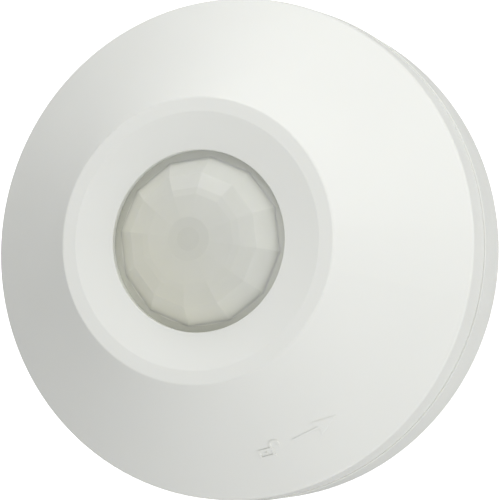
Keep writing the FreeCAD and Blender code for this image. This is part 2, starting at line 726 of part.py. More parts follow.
# ---------------------------------------------------------------- export
PARTS = {
    "base": base,
    "cover": cover,
    "fresnel_lens": fresnel_lens,
    "lens_retainer": lens_retainer,
    "circuit_board": circuit_board,
    "board_screws": board_screws,
    "sensor_spacer": sensor_spacer,
    "pir_sensor_can": pir_sensor_can,
    "pir_sensor_window": pir_sensor_window,
    "terminal_block": terminal_block,
    "terminal_clamps": terminal_clamps,
    "terminal_screws": terminal_screws,
    "alarm_relay": alarm_relay,
    "tamper_switch_body": tamper_switch_body,
    "tamper_plunger": tamper_plunger,
    "tamper_spring": tamper_spring,
    "jumper_header": jumper_header,
    "jumper_pins": jumper_pins,
    "alarm_led": alarm_led,
    "processor_chip": processor_chip,
    "amplifier_chip": amplifier_chip,
    "voltage_regulator": voltage_regulator,
    "crystal": crystal,
    "surge_varistor": surge_varistor,
    "power_diode": power_diode,
    "filter_capacitors": filter_capacitors,
    "chip_resistors": chip_resistors,
    "chip_capacitors": chip_capacitors,
}


def export(name, shape):
    assert shape.isValid(), name
    shape.exportStep(f"parts/{name}.step")
    print(f"{name}: {len(shape.Solids)} solid(s), {shape.Volume:.1f} mm3")


def main():
    os.makedirs("parts", exist_ok=True)
    for name, make in PARTS.items():
        export(name, make())
    for number, y in enumerate(jumper_rows(), start=1):
        export(f"jumper_shunt_{number}", jumper_shunt(y))


main()
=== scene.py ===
"""Looks of the ceiling motion detector: materials, detailed pieces, studio and camera."""
import math

import bmesh
import bpy
from mathutils import Matrix, Vector


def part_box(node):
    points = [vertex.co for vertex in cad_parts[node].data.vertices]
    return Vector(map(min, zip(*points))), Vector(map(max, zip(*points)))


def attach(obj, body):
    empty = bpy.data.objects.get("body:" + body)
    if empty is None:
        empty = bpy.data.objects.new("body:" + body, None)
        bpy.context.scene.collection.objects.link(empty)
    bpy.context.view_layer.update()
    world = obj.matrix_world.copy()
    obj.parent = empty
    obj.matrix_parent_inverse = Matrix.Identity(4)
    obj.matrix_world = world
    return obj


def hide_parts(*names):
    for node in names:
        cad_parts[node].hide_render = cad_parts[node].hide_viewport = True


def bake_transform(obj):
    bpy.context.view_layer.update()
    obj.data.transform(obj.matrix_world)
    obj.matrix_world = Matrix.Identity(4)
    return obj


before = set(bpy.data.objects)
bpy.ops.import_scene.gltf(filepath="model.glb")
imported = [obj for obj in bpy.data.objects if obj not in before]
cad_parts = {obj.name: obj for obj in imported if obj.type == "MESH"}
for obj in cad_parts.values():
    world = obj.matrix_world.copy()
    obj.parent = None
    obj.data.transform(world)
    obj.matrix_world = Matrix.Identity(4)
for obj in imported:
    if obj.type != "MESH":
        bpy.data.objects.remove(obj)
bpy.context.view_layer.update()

MM = 0.001

# ---- camera: the line of sight passes close to the detector's origin ----
CAMERA_TILT = math.radians(19.93)  # between the line of sight and the detector's axis
CAMERA_ROLL = math.radians(11.9)  # how far the detector's +X hangs below the picture's horizontal
CAMERA_DISTANCE = 600 * MM
CAMERA_LENS = 182.3
CAMERA_SENSOR = 36
CAMERA_ASIDE = 2.88 * MM  # the origin lies this far to the right of the line of sight
CAMERA_BELOW = 1.04 * MM  # and this far below it

# ---- light: a sky that is brighter on the right and along both sides, and one broad key ----
SKY = 0.31  # from everywhere above the bench
SKY_RIGHT = 0.95  # grows towards +X
SKY_SIDES = 0.60  # grows towards +Y and -Y
SKY_BELOW = 0.90  # how much of the light from the right and the sides the bench throws back up
KEY_AZIMUTH = math.radians(110)
KEY_HEIGHT = math.radians(30)
KEY_SPREAD = math.radians(40)
KEY_STRENGTH = 1.02
BENCH_HALF = 20.0
BENCH_BELOW = 0.3 * MM  # keeps the bench clear of the detector's back
BENCH_GLOW = 0.9

# ---- lens: a faceted shell that stands on a flange ----
LENS_SIDES = 12
LENS_TURN = math.radians(4.6)
LENS_RINGS_MM = ((18.85, 42.05), (15.0, 46.3), (11.7, 47.7), (10.1, 48.2), (5.0, 49.2))
LENS_RINGS = [(radius * MM, z * MM) for radius, z in LENS_RINGS_MM]
LENS_APEX = 49.4 * MM
LENS_FOOT_R = 19.6 * MM  # where the outermost facets meet the flange's underside
LENS_WALL = 0.65 * MM
LENS_INNER_DROP = 0.8 * LENS_WALL  # how far the inner face lies below the outer one
LENS_EDGE = 0.12 * MM
LENS_FILLET = 0.18 * MM  # between the outermost facets and the flange
LENS_SMOOTH_R = 10.3 * MM  # inside this radius the facets run into one smooth curve
FLANGE_THICK = 1.0 * MM
FLANGE_CHAMFER = 0.2 * MM
SIDE_PARTS = 8  # lengths that each side of a facet is cut into
GROOVE_PITCH = 0.9 * MM
GROOVE_DEPTH = 0.14 * MM
GROOVE_RISER = 0.05 * MM

# ---- tones of the lens, mostly painted light and shade: their colours, where each fades in, and how strong it gets ----
# painted light: the lens is lighter and a little yellower towards -X and -Y
THROUGH_LIGHT_COLOUR = (0.81, 0.81, 0.705)
THROUGH_LIGHT_FADE = (12 * MM, -24 * MM)  # of X + Y, so towards -X and -Y; painted light: the sheet is lighter and a little yellower there, as if light shows through it
SHADE_AND_RING_COLOUR = (0.52, 0.53, 0.47)  # darker tone for the painted shade on the facets' foot and the flange, and for the faint rings of the centre disc
OUTER_ROW_SHADE_FADE = (17.0 * MM, 18.6 * MM)  # of the radius, with none beyond its end; painted shade on the outer row of facets, next to the lip of the opening
OUTER_ROW_SHADE_TONE = 0.25
RIM_R = 18.7 * MM  # the foot of the facets and the flange lie outside this radius
RIM_SHADE_FADE = (14 * MM, -22 * MM)  # of X + Y; painted shade on the foot and the flange, darkest towards -X and -Y
RIM_SHADE_TONE = 0.6
CENTRE_DISCS = (4.8 * MM, 2.6 * MM)
CENTRE_TONE = 0.12

# ---- bodies and leads on the board ----
REGULATOR_STAND = 2.0 * MM  # how far a body stands off the board on its legs
VARISTOR_STAND = 1.1 * MM
DIODE_HALF = 2.62 * MM
DIODE_STRIPE = (1.3 * MM, 2.0 * MM)  # from the middle of the body
LEAD_SPAN = 1.14 * MM  # how far the bent leads of a chip reach out of its body
TINNED = (0.62, 0.61, 0.58)
TINNED_GLOSS = 0.3

# ---- chip resistors and capacitors ----
CHIP_END = 0.38 * MM  # length of the tinned ends
CHIP_END_SOFTEN = 0.06 * MM
CHIP_END_DROP = 0.02 * MM  # how far the ends stay below the coating
CHIP_COATING = 0.1 * MM
CHIP_INSET = 0.03 * MM
CHIP_SOFTEN = 0.03 * MM
SOLDER_REACH = 0.4 * MM
SOLDER_CLIMB = 0.6  # of the part's height
SOLDER_HOLLOW = 0.35  # where the wedge's hollow lies, of its reach and of its climb
SOLDER_OVERLAP = 0.02 * MM
SOLDER_INSET = 0.08 * MM

# ---- electrolytic capacitors ----
CAN_FOOT = ((-0.5 * MM, 0), (-0.1 * MM, 0.25 * MM), (0, 0.6 * MM))  # from the radius and the foot
CAN_CRIMP_Z = 1.6 * MM  # above the foot
CAN_CRIMP_HALF = 0.5 * MM
CAN_CRIMP_DEPTH = 0.3 * MM
CAN_TOP = ((0, -0.5 * MM), (-0.1 * MM, -0.15 * MM), (-0.3 * MM, 0))  # from the radius and the top
CAN_FOLD = 0.14  # width of the sleeve's fold over the top, of the radius
CAN_FOLD_THICK = 0.12 * MM
BARE_GAP = 0.05 * MM  # between the fold and the bare top
BARE_TOP = ((1, -0.2 * MM), (1, -0.07 * MM), (0.8, -0.1 * MM))  # of the bare radius, from the top
LATHE_STEPS = 48

# ---- tamper spring ----
SPRING_WIRE = 0.26 * MM
SPRING_TURNS = 4
SPRING_END_TURNS = 0.75  # closed turns at each end
SPRING_ALL_TURNS = SPRING_TURNS + 2 * SPRING_END_TURNS
SPRING_STEPS = 28  # in each turn
WIRE_SIDES = 10

# ---- noise and meshes ----
NOISE_MIDDLE = (0.3, 0.7)  # where nearly all values of a noise lie
GLOSS_PATCH = 0.4  # size of the patches of uneven gloss, of the size of the colour's
SAME_SPOT = 1e-7  # vertices of a CAD mesh that are closer than this are one
MERGE_GAP = 0.5e-6  # and so are those of the lens


# ---------------------------------------------------------------- shader nodes
def principled(name, colour, roughness, **sockets):
    """Principled material; every uniform value sits on the shader's own socket."""
    material = bpy.data.materials.new(name)
    material.use_nodes = True
    shader = material.node_tree.nodes["Principled BSDF"]
    shader.inputs["Base Color"].default_value = (*colour, 1)
    shader.inputs["Roughness"].default_value = roughness
    for socket, value in sockets.items():
        shader.inputs[socket.replace("_", " ")].default_value = value
    return material


def slot_of(material):
    """A material's name without the number that Blender adds to the second of that name."""
    return material.name.split(".")[0]


def math_node(tree, operation, first, second=0.0):
    node = tree.nodes.new("ShaderNodeMath")
    node.operation = operation
    for socket, value in zip(node.inputs, (first, second)):
        if isinstance(value, (int, float)):
            socket.default_value = value
        else:
            tree.links.new(value, socket)
    return node.outputs["Value"]


def plus(tree, first, second):
    return math_node(tree, "ADD", first, second)


def times(tree, first, second):
    return math_node(tree, "MULTIPLY", first, second)


def inverse(tree, amount):
    """0 where amount is 1, and 1 where it is 0."""
    return math_node(tree, "SUBTRACT", 1.0, amount)


def mask(tree, value, low, high):
    """1 where value lies between low and high, else 0."""
    above = math_node(tree, "GREATER_THAN", value, low)
    below = math_node(tree, "LESS_THAN", value, high)
    return times(tree, above, below)


def ramp(tree, value, start, end):
    """0 before start, 1 after end, with a soft change between them."""
    node = tree.nodes.new("ShaderNodeMapRange")
    node.interpolation_type = "SMOOTHSTEP"
    node.inputs["From Min"].default_value = start
    node.inputs["From Max"].default_value = end
    tree.links.new(value, node.inputs["Value"])
    return node.outputs["Result"]


def axes(tree, coordinates):
    """X, Y and Z of one kind of texture coordinates."""
    where = tree.nodes.new("ShaderNodeTexCoord")
    split = tree.nodes.new("ShaderNodeSeparateXYZ")
    tree.links.new(where.outputs[coordinates], split.inputs["Vector"])
    return [split.outputs[axis] for axis in "XYZ"]


def position(tree):
    """The object's own X, Y and Z at each point, which are the frame's at rest."""
    return axes(tree, "Object")


def noise(tree, size, detail=3.0):
    """Noise over the object's own coordinates, with features about `size` metres across."""
    where = tree.nodes.new("ShaderNodeTexCoord")
    texture = tree.nodes.new("ShaderNodeTexNoise")
    texture.inputs["Scale"].default_value = 1 / size
    texture.inputs["Detail"].default_value = detail
    tree.links.new(where.outputs["Object"], texture.inputs["Vector"])
    return texture.outputs["Fac"]


def spread(tree, value, low, high):
    """Maps the middle of a noise's range on to low..high."""
    node = tree.nodes.new("ShaderNodeMapRange")
    node.inputs["From Min"].default_value = NOISE_MIDDLE[0]
    node.inputs["From Max"].default_value = NOISE_MIDDLE[1]
    node.inputs["To Min"].default_value = low
    node.inputs["To Max"].default_value = high
    tree.links.new(value, node.inputs["Value"])
    return node.outputs["Result"]


def mix_colours(tree, amount, first, second):
    """first where amount is 0 and second where it is 1; each is a colour or another node's output."""
    node = tree.nodes.new("ShaderNodeMix")
    node.data_type = "RGBA"
    tree.links.new(amount, node.inputs[0])
    for name, colour in (("A", first), ("B", second)):
        socket = next(s for s in node.inputs if s.name == name and s.type == "RGBA")
        if isinstance(colour, tuple):
            socket.default_value = (*colour, 1)
        else:
            tree.links.new(colour, socket)
    return next(s for s in node.outputs if s.type == "RGBA")


def roughen(material, mottle, mottle_size, gloss_range, grain_size, grain_depth):
    """Adds what every moulded or cast surface has: slow colour drift, uneven gloss and a fine grain."""
    tree = material.node_tree
    shader = tree.nodes["Principled BSDF"]
    colour = tuple(shader.inputs["Base Color"].default_value)[:3]
    light = tuple(min(1, c * (1 + mottle)) for c in colour)
    dark = tuple(c * (1 - mottle) for c in colour)
    drift = spread(tree, noise(tree, mottle_size), 0, 1)
    tree.links.new(mix_colours(tree, drift, dark, light), shader.inputs["Base Color"])
    gloss = spread(tree, noise(tree, mottle_size * GLOSS_PATCH, detail=5), *gloss_range)
    tree.links.new(gloss, shader.inputs["Roughness"])
    bump = tree.nodes.new("ShaderNodeBump")
    bump.inputs["Strength"].default_value = 1
    bump.inputs["Distance"].default_value = grain_depth
    tree.links.new(noise(tree, grain_size, detail=2), bump.inputs["Height"])
    tree.links.new(bump.outputs["Normal"], shader.inputs["Normal"])
    return material


def repaint(material, amount, colour, roughness=None, metallic=None):
    """Where amount is 1, the material takes another colour, and another gloss if one is given."""
    tree = material.node_tree
    shader = tree.nodes["Principled BSDF"]
    before = shader.inputs["Base Color"].links[0].from_socket
    tree.links.new(mix_colours(tree, amount, before, colour), shader.inputs["Base Color"])
    if metallic is not None:
        tree.links.new(times(tree, amount, metallic), shader.inputs["Metallic"])
    if roughness is not None:
        now = shader.inputs["Roughness"].links[0].from_socket
        kept = times(tree, now, inverse(tree, amount))
        fresh = times(tree, amount, roughness)
        tree.links.new(plus(tree, kept, fresh), shader.inputs["Roughness"])
    return material


def tin(material, amount):
    """Where amount is 1, the material is tinned metal."""
    return repaint(material, amount, TINNED, roughness=TINNED_GLOSS, metallic=1.0)


# ---------------------------------------------------------------- materials
def moulded(name, colour, gloss, mottle=0.03):
    """Plain moulded plastic, resin or fired coating."""
    material = principled(name, colour, gloss)
    gloss_range = (gloss - 0.06, gloss + 0.06)
    return roughen(material, mottle, 4 * MM, gloss_range, 0.25 * MM, 0.006 * MM)


def bare_metal(name, colour, gloss):
    """Plated metal: fine drawing marks and slow changes of tone."""
    material = principled(name, colour, gloss, Metallic=1.0)
    gloss_range = (gloss - 0.08, gloss + 0.1)
    return roughen(material, 0.05, 2.5 * MM, gloss_range, 0.12 * MM, 0.004 * MM)


def casing_plastic():
    """Off-white moulded shell with a satin spark-eroded surface."""
    material = principled("casing_plastic", (0.80, 0.81, 0.775), 0.42, Subsurface_Weight=0.12,
                          Subsurface_Scale=0.8 * MM, Subsurface_Radius=(1, 0.9, 0.7))
    return roughen(material, 0.006, 22 * MM, (0.38, 0.46), 0.35 * MM, 0.004 * MM)


def lens_polyethylene():
    """Milky sheet with painted light and shade: lighter and yellower towards -X and -Y, painted shade on
    the foot of the facets and the flange, and faint dark rings in the centre disc.
    """
    material = principled("lens_polyethylene", (0.715, 0.725, 0.675), 0.35,
                          Transmission_Weight=0.14, IOR=1.5, Subsurface_Weight=0.6,
                          Subsurface_Scale=0.35 * MM, Subsurface_Radius=(1, 1, 0.8))
    roughen(material, 0.012, 5 * MM, (0.32, 0.38), 0.2 * MM, 0.003 * MM)
    tree = material.node_tree
    x, y, _ = position(tree)
    across = plus(tree, x, y)
    radius = math_node(tree, "SQRT", plus(tree, times(tree, x, x), times(tree, y, y)))

    # painted light: lighter and a little yellower towards -X and -Y
    repaint(material, ramp(tree, across, *THROUGH_LIGHT_FADE), THROUGH_LIGHT_COLOUR)

    # painted shade: the outer row of facets darkens towards its foot, under the lip
    outer_row_shade = times(tree, ramp(tree, radius, *OUTER_ROW_SHADE_FADE), OUTER_ROW_SHADE_TONE)
    outer_row_shade = times(tree, outer_row_shade, math_node(tree, "LESS_THAN", radius, OUTER_ROW_SHADE_FADE[1]))
    repaint(material, outer_row_shade, SHADE_AND_RING_COLOUR)

    # painted shade: the foot of the facets and the flange darken towards -X and -Y
    rim = times(tree, math_node(tree, "GREATER_THAN", radius, RIM_R), RIM_SHADE_TONE)
    rim = times(tree, rim, ramp(tree, across, *RIM_SHADE_FADE))
    repaint(material, rim, SHADE_AND_RING_COLOUR)

    for edge in CENTRE_DISCS:
        disc = times(tree, ramp(tree, radius, edge + LENS_EDGE, edge - LENS_EDGE), CENTRE_TONE)
        repaint(material, disc, SHADE_AND_RING_COLOUR)
    return material


def board_laminate():
    """Green solder mask over the faces, and raw glass fibre where the edges were cut."""
    material = principled("board_laminate", (0.028, 0.17, 0.075), 0.37,
                          Coat_Weight=0.4, Coat_Roughness=0.15)
    roughen(material, 0.08, 6 * MM, (0.32, 0.42), 0.4 * MM, 0.004 * MM)
    tree = material.node_tree
    facing_up_or_down = math_node(tree, "ABSOLUTE", axes(tree, "Normal")[2])
    edges = math_node(tree, "LESS_THAN", facing_up_or_down, 0.5)
    return repaint(material, edges, (0.42, 0.38, 0.17), roughness=0.7)


def sensor_filter():
    """Coated silicon: nearly black, with a mirror gloss and a faint coloured film."""
    material = principled("sensor_filter", (0.03, 0.025, 0.04), 0.08,
                          Coat_Weight=1.0, Coat_Roughness=0.03)
    return roughen(material, 0.1, 1.5 * MM, (0.06, 0.12), 0.3 * MM, 0.001 * MM)


def led_epoxy():
    """Clear red resin."""
    material = principled("led_epoxy", (0.62, 0.03, 0.02), 0.12, Transmission_Weight=0.5, IOR=1.54)
    return roughen(material, 0.05, 1.5 * MM, (0.08, 0.16), 0.5 * MM, 0.002 * MM)


def legs_below(material, node, stand):
    """Tinned legs under a body that stands off the foot of its node."""
    tree = material.node_tree
    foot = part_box(node)[0][2]
    return tin(material, math_node(tree, "LESS_THAN", position(tree)[2], foot + stand))


def leads_beyond(material, start, end):
    """Tinned leads on both sides of a body that lies between two places on Y."""
    tree = material.node_tree
    return tin(material, inverse(tree, mask(tree, position(tree)[1], start, end)))


def chip_body(node):
    """Black epoxy, with bent leads along two sides."""
    low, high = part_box(node)
    material = moulded(node.replace("chip", "body"), (0.02, 0.02, 0.022), 0.55, 0.1)
    return leads_beyond(material, low[1] + LEAD_SPAN, high[1] - LEAD_SPAN)


def diode_body():
    """Black body with a light band at one end, on tinned leads."""
    low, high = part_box("power_diode")
    middle = (low[1] + high[1]) / 2
    material = moulded("diode_body", (0.02, 0.02, 0.022), 0.4)
    tree = material.node_tree
    stripe = mask(tree, position(tree)[1], middle + DIODE_STRIPE[0], middle + DIODE_STRIPE[1])
    repaint(material, stripe, (0.6, 0.6, 0.6))
    return leads_beyond(material, middle - DIODE_HALF, middle + DIODE_HALF)


def finishes():
    """One finish for each material slot of the record, under the slot's name."""
    made = (
        casing_plastic(),
        lens_polyethylene(),
        moulded("inner_plastic", (0.72, 0.725, 0.69), 0.5, 0.01),
        board_laminate(),
        bare_metal("zinc_steel", (0.64, 0.65, 0.66), 0.32),
        bare_metal("nickel_can", (0.66, 0.63, 0.57), 0.24),
        sensor_filter(),
        moulded("terminal_plastic", (0.02, 0.2, 0.09), 0.4),
        bare_metal("clamp_metal", (0.6, 0.6, 0.58), 0.34),
        moulded("relay_case", (0.78, 0.77, 0.71), 0.4, 0.01),
        moulded("black_plastic", (0.022, 0.022, 0.025), 0.5, 0.1),
        moulded("plunger_plastic", (0.56, 0.05, 0.03), 0.4),
        bare_metal("spring_steel", (0.5, 0.5, 0.51), 0.28),
        bare_metal("gold_pins", (0.83, 0.62, 0.28), 0.22),
        led_epoxy(),
        moulded("shunt_plastic", (0.025, 0.025, 0.03), 0.38, 0.1),
        moulded("varistor_coat", (0.06, 0.14, 0.42), 0.2, 0.08),
        moulded("capacitor_sleeve", (0.03, 0.035, 0.09), 0.22, 0.05),
        moulded("chip_ceramic", (0.025, 0.025, 0.027), 0.3, 0.1),
        moulded("chip_capacitor_ceramic", (0.36, 0.25, 0.14), 0.4, 0.08),
    )
    return {slot_of(material): material for material in made}


def dress_nodes():
    """Every CAD node gets the finish of its slot, or one of its own where it has two materials."""
    regulator = moulded("regulator_body", (0.022, 0.022, 0.025), 0.5, 0.1)
    varistor = moulded("varistor_body", (0.06, 0.14, 0.42), 0.2, 0.08)
    special = {
        "voltage_regulator": legs_below(regulator, "voltage_regulator", REGULATOR_STAND),
        "surge_varistor": legs_below(varistor, "surge_varistor", VARISTOR_STAND),
        "power_diode": diode_body(),
        "processor_chip": chip_body("processor_chip"),
        "amplifier_chip": chip_body("amplifier_chip"),
    }
    for name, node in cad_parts.items():
        slot = slot_of(node.data.materials[0])
        node.material_slots[0].material = special.get(name, finish[slot])


# ---------------------------------------------------------------- mesh helpers
def mesh_object(name, mesh, materials, sharp_angle=None):
    """Object made of a bmesh; with a sharp_angle it is smoothed except over edges sharper than that."""
    bmesh.ops.recalc_face_normals(mesh, faces=mesh.faces)
    data = bpy.data.meshes.new(name)
    mesh.to_mesh(data)
    mesh.free()
    for material in materials:
        data.materials.append(material)
    if sharp_angle is not None:
        data.shade_smooth()
        data.set_sharp_from_angle(angle=math.radians(sharp_angle))
    piece = bpy.data.objects.new(name, data)
    bpy.context.scene.collection.objects.link(piece)
    return piece


def neighbours(items):
    """Each item of a closed row with the next one."""
    return zip(items, items[1:] + items[:1])


def circle(radius, z, count, start=0.0, x=0.0, y=0.0):
    """Points spaced evenly round an upright axis."""
    angles = [start + 2 * math.pi * i / count for i in range(count)]
    return [Vector((x + radius * math.cos(a), y + radius * math.sin(a), z)) for a in angles]


def quads(mesh, low, high):
    """Faces between two closed rows with the same number of vertices."""
    for (a, b), (c, d) in zip(neighbours(low), neighbours(high)):
        mesh.faces.new((a, b, d, c))


def band(mesh, low, high):
    """Faces between two closed rings of points."""
    low = [mesh.verts.new(p) for p in low]
    high = [mesh.verts.new(p) for p in high]
    quads(mesh, low, high)


def join_into(mesh, other, finish_index=0):
    """Moves all of another bmesh into mesh."""
    for face in other.faces:
        face.material_index = finish_index
    spare = bpy.data.meshes.new("spare")
    other.to_mesh(spare)
    other.free()
    mesh.from_mesh(spare)
    bpy.data.meshes.remove(spare)


def soften(mesh, edges, offset):
    """Rounds edges off."""
    bmesh.ops.bevel(mesh, geom=edges, offset=offset, segments=2, profile=0.5, affect="EDGES")


def bar(mesh, low, high, edge, finish_index):
    """Block with softened edges."""
    part = bmesh.new()
    low, high = Vector(low), Vector(high)
    bmesh.ops.create_cube(part, size=1, matrix=Matrix.LocRotScale((low + high) / 2, None, high - low))
    soften(part, part.edges[:], edge)
    join_into(mesh, part, finish_index)


def lathe(mesh, x, y, profile, finish_index):
    """Turned solid about an upright axis; the profile starts and ends on the axis."""
    part = bmesh.new()
    rings = []
    for radius, z in profile[1:-1]:
        rings.append([part.verts.new(p) for p in circle(radius, z, LATHE_STEPS, x=x, y=y)])
    for ring, (_, z) in ((rings[0][::-1], profile[0]), (rings[-1], profile[-1])):
        tip = part.verts.new((x, y, z))
        for a, b in neighbours(ring):
            part.faces.new((tip, a, b))
    for low, high in zip(rings, rings[1:]):
        quads(part, low, high)
    join_into(mesh, part, finish_index)


def solids(node):
    """Lowest and highest corner of each separate solid of a CAD node, in a fixed order."""
    mesh = bmesh.new()
    mesh.from_mesh(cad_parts[node].data)
    bmesh.ops.remove_doubles(mesh, verts=mesh.verts, dist=SAME_SPOT)
    left = set(mesh.verts)
    boxes = []
    while left:
        reached, spots = [left.pop()], []
        while reached:
            vert = reached.pop()
            spots.append(vert.co.copy())
            for edge in vert.link_edges:
                other = edge.other_vert(vert)
                if other in left:
                    left.remove(other)
                    reached.append(other)
        low = tuple(min(p[i] for p in spots) for i in range(3))
        high = tuple(max(p[i] for p in spots) for i in range(3))
        boxes.append((low, high))
    mesh.free()
    return sorted(boxes)


def merge(mesh):
    bmesh.ops.remove_doubles(mesh, verts=mesh.verts, dist=MERGE_GAP)
    bmesh.ops.dissolve_degenerate(mesh, edges=mesh.edges, dist=MERGE_GAP)


# ---------------------------------------------------------------- lens
def lens_ring(radius, z):
    """The corners of the lens at one radius."""
    return circle(radius, z, LENS_SIDES, LENS_TURN)


def divided(corners):
    """The outline through some corners, with each side cut into equal parts."""
    points = []
    for a, b in neighbours(corners):
        points += [a.lerp(b, k / SIDE_PARTS) for k in range(SIDE_PARTS)]
    return points


def lenslet(mesh, corners):
    """Inner face of one facet: sawtooth rings about its own centre, cut off at the facet's edges."""
    outline = divided(corners)
    centre = sum(corners, Vector()) / len(corners)
    outward = (corners[1] - corners[0]).cross(corners[2] - corners[0]).normalized()
    farthest = max((p - centre).length for p in outline)
    rows = []
    for k in range(1, math.ceil(farthest / GROOVE_PITCH) + 1):
        crest = k * GROOVE_PITCH
        for radius, depth in ((crest - GROOVE_RISER, GROOVE_DEPTH), (crest, 0)):
            row = []
            for p in outline:
                arm = p - centre
                inside = radius < arm.length - GROOVE_RISER
                spot = centre + arm.normalized() * radius + outward * depth if inside else p
                row.append(mesh.verts.new(spot))
            rows.append(row)
    hub = mesh.verts.new(centre)
    for a, b in neighbours(rows[0]):
        mesh.faces.new((hub, b, a))
    for inner, outer in zip(rows, rows[1:]):
        quads(mesh, inner, outer)


def facets_outside(mesh, foot_z):
    """Outer face of the lens, with its edges broken."""
    rings = [lens_ring(LENS_FOOT_R, foot_z)] + [lens_ring(r, z) for r, z in LENS_RINGS]
    for lower, upper in zip(rings, rings[1:]):
        band(mesh, lower, upper)
    apex = Vector((0, 0, LENS_APEX))
    for a, b in neighbours(rings[-1]):
        mesh.faces.new([mesh.verts.new(p) for p in (a, b, apex)])
    merge(mesh)
    creases = [e for e in mesh.edges if len(e.link_faces) == 2]
    soften(mesh, creases, LENS_EDGE)


def facets_inside(mesh, foot_z):
    """Inner face of the lens: one grooved lenslet behind each facet, and a plain foot."""
    rings = [lens_ring(r - LENS_WALL, z - LENS_INNER_DROP) for r, z in LENS_RINGS]
    for lower, upper in zip(rings, rings[1:]):
        for (a, b), (c, d) in zip(neighbours(lower), neighbours(upper)):
            lenslet(mesh, [a, b, d, c])
    lenslet(mesh, rings[-1])
    foot = lens_ring(LENS_FOOT_R - LENS_WALL, foot_z)
    band(mesh, divided(foot), divided(rings[0]))
    merge(mesh)


def flange(mesh, radius, low, top):
    """Flat rim of the lens: broken outer edges, and a fillet up to the facets."""
    outer = [(radius - FLANGE_CHAMFER, low), (radius, low + FLANGE_CHAMFER),
             (radius, top - FLANGE_CHAMFER), (radius - FLANGE_CHAMFER, top)]
    steps = LENS_SIDES * SIDE_PARTS
    rings = [circle(r, z, steps, LENS_TURN) for r, z in outer]
    within_wall = -LENS_WALL / 2
    inner = ((top, LENS_FILLET), (top + LENS_FILLET, 0), (top, within_wall), (low, within_wall))
    first_r, first_z = LENS_RINGS[0]
    for z, aside in inner:
        wall_r = LENS_FOOT_R + (first_r - LENS_FOOT_R) * (z - low) / (first_z - low)
        rings.append(divided(lens_ring(wall_r + aside, z)))
    for a, b in neighbours(rings):
        band(mesh, a, b)


def fresnel_lens():
    """Thin shell with crisp facets outside and grooves inside, standing on its flange."""
    low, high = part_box("fresnel_lens")
    foot_z = low[2]
    mesh = bmesh.new()
    facets_outside(mesh, foot_z)
    inside = bmesh.new()
    facets_inside(inside, foot_z)
    join_into(mesh, inside)
    bmesh.ops.bridge_loops(mesh, edges=[e for e in mesh.edges if len(e.link_faces) == 1])
    rim = bmesh.new()
    flange(rim, high[0], foot_z, foot_z + FLANGE_THICK)
    join_into(mesh, rim)
    merge(mesh)
    for face in mesh.faces:
        middle = face.calc_center_median()
        face.smooth = math.hypot(middle.x, middle.y) < LENS_SMOOTH_R
    lens = mesh_object("faceted_lens", mesh, [finish["lens_polyethylene"]])
    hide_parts("fresnel_lens")
    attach(lens, "cover")


# ---------------------------------------------------------------- pieces on the board
def board_piece(name, mesh, materials, node):
    """A piece that stands for one CAD node of the base."""
    piece = mesh_object(name, mesh, materials, sharp_angle=40)
    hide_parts(node)
    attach(piece, "base")


def solder_wedge(mesh, low, high, side, finish_index):
    """Solder that climbs one end of a chip part; side is -1 or 1 along Y."""
    end = high[1] if side > 0 else low[1]
    root, tip = end - side * SOLDER_OVERLAP, end + side * SOLDER_REACH
    hollow = end + side * SOLDER_HOLLOW * SOLDER_REACH
    climb = SOLDER_CLIMB * (high[2] - low[2])
    profile = ((root, 0), (tip, 0), (hollow, SOLDER_HOLLOW * climb), (root, climb))
    part = bmesh.new()
    left, right = ([part.verts.new((x, y, low[2] + rise)) for y, rise in profile]
                   for x in (low[0] + SOLDER_INSET, high[0] - SOLDER_INSET))
    part.faces.new(left[::-1])
    part.faces.new(right)
    quads(part, left, right)
    join_into(mesh, part, finish_index)


def chip_parts(name, node, body, coating):
    """Surface-mount parts: a fired body with a coating on top, two tinned ends, and their solder."""
    mesh = bmesh.new()
    for low, high in solids(node):
        left, right = low[0] + CHIP_INSET, high[0] - CHIP_INSET
        top, end_top = high[2] - CHIP_COATING, high[2] - CHIP_END_DROP
        near, far = low[1] + CHIP_END, high[1] - CHIP_END
        bar(mesh, (left, low[1] + CHIP_INSET, low[2] + CHIP_INSET), (right, high[1] - CHIP_INSET, top),
            CHIP_SOFTEN, 0)
        bar(mesh, (left, near, top), (right, far, high[2]), CHIP_SOFTEN, 1)
        bar(mesh, low, (high[0], near, end_top), CHIP_END_SOFTEN, 2)
        bar(mesh, (low[0], far, low[2]), (high[0], high[1], end_top), CHIP_END_SOFTEN, 2)
        for side in (-1, 1):
            solder_wedge(mesh, low, high, side, 2)
    solder = bare_metal(name + "_solder", TINNED, 0.26)
    board_piece(name, mesh, [body, coating, solder], node)


